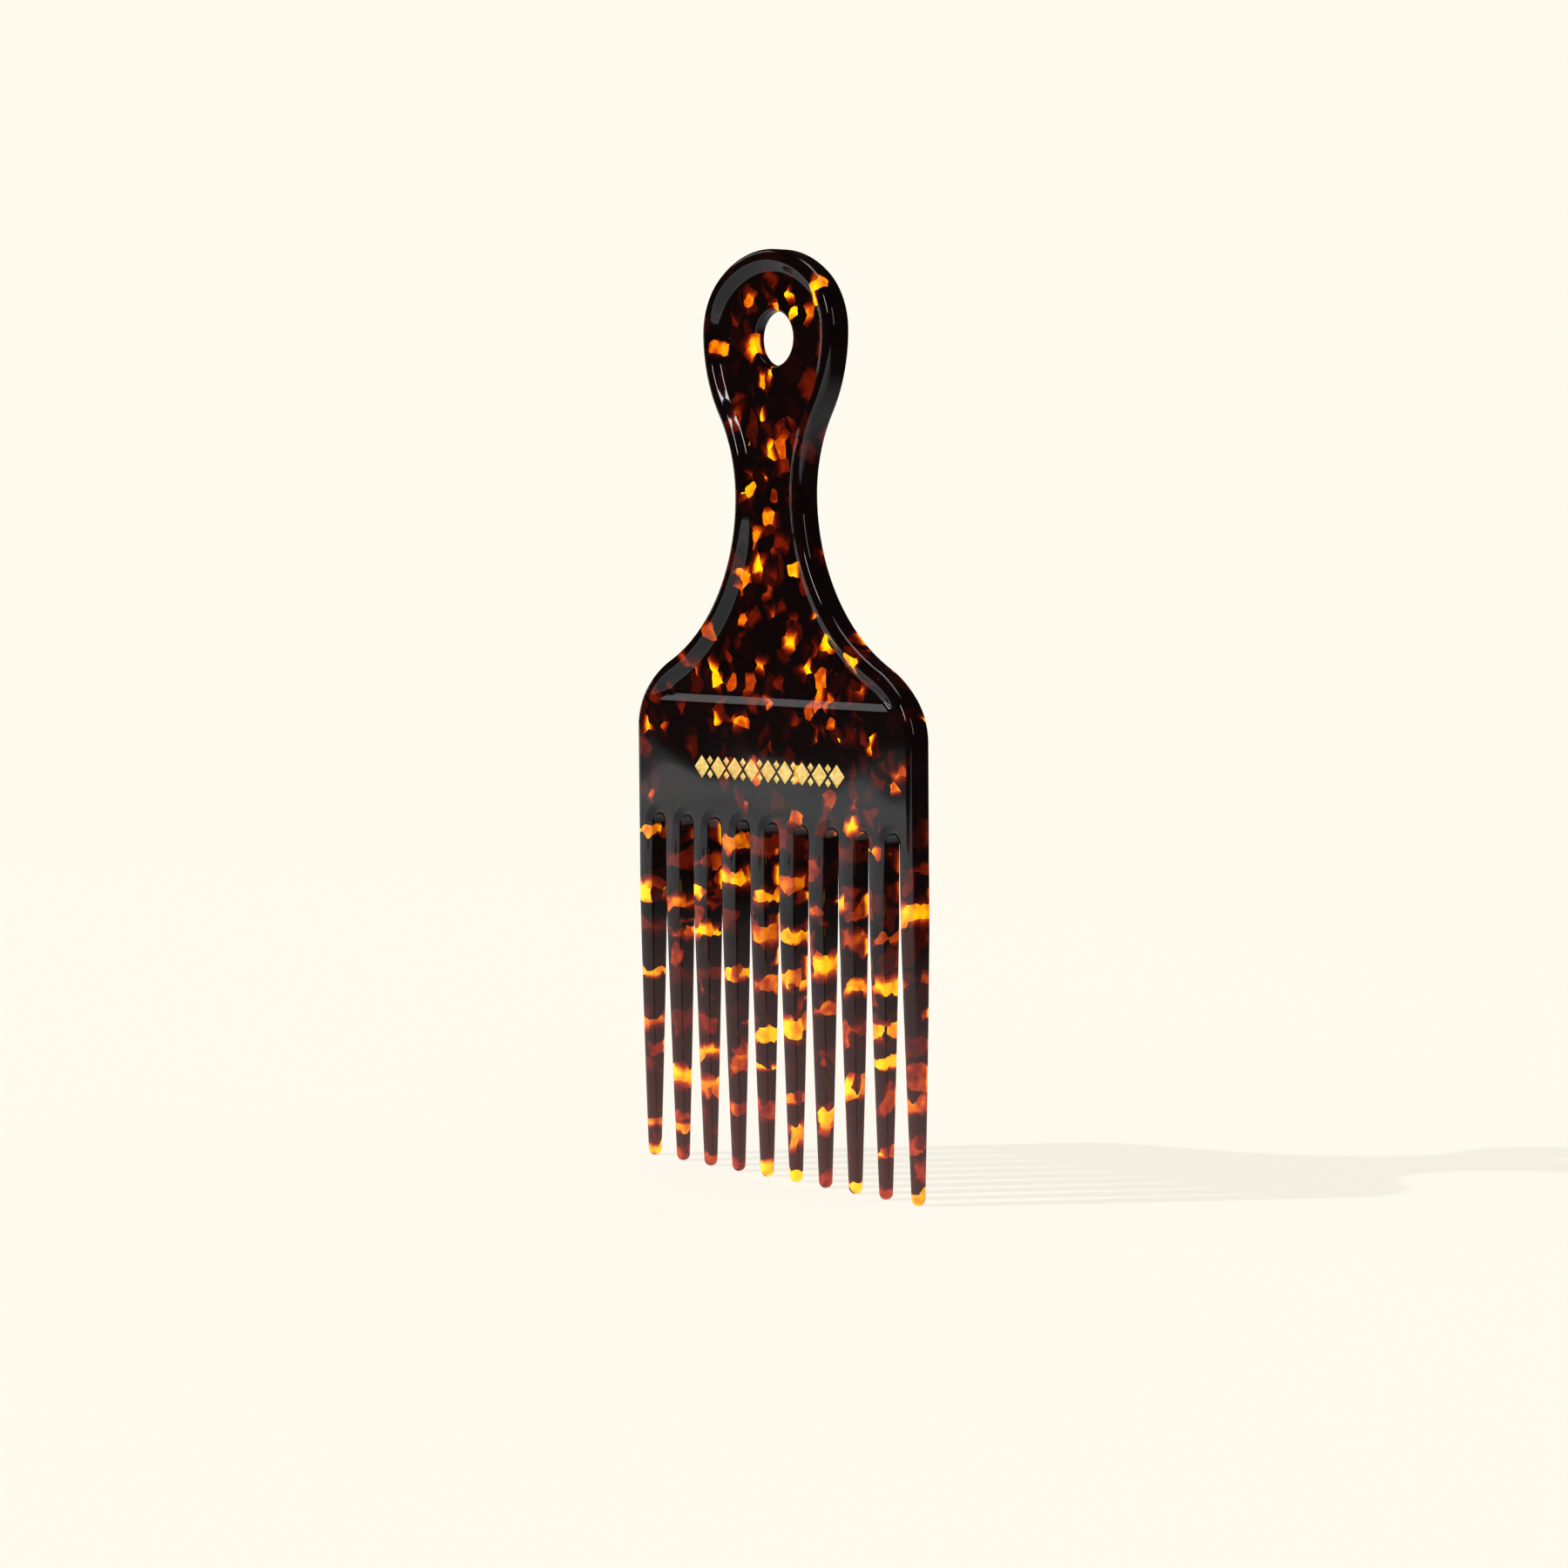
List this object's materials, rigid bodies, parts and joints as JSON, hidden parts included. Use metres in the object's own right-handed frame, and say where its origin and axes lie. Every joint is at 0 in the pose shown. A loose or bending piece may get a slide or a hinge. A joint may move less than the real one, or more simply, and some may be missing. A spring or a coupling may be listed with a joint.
{
  "type": "hair comb",
  "caption": "Wide-tooth hair pick cut from tortoiseshell acetate, with a waisted handle, recessed panels, a hanging hole and a stamped gold ornament.",
  "frame": {"origin": "on the floor under the middle of the row of tooth tips, centred in the sheet's thickness", "axes": "+Z from the tooth tips up to the hanging end, +X across the width to the right as the decorated face is seen, -Y out of the decorated face"},
  "size_m": [0.072, 0.005, 0.165],
  "materials": {
    "tortoiseshell_acetate": "polished, near-black brown with translucent amber patches",
    "gold_foil": "hot-stamped metallic foil, satin"
  },
  "bodies": {
    "root": {"handle_rim": "tortoiseshell_acetate", "handle_panel": "tortoiseshell_acetate", "comb_back": "tortoiseshell_acetate", "tooth_01": "tortoiseshell_acetate", "tooth_02": "tortoiseshell_acetate", "tooth_03": "tortoiseshell_acetate", "tooth_04": "tortoiseshell_acetate", "tooth_05": "tortoiseshell_acetate", "tooth_06": "tortoiseshell_acetate", "tooth_07": "tortoiseshell_acetate", "tooth_08": "tortoiseshell_acetate", "tooth_09": "tortoiseshell_acetate", "tooth_10": "tortoiseshell_acetate", "gold_foil": "gold_foil"}
  },
  "joints": []
}
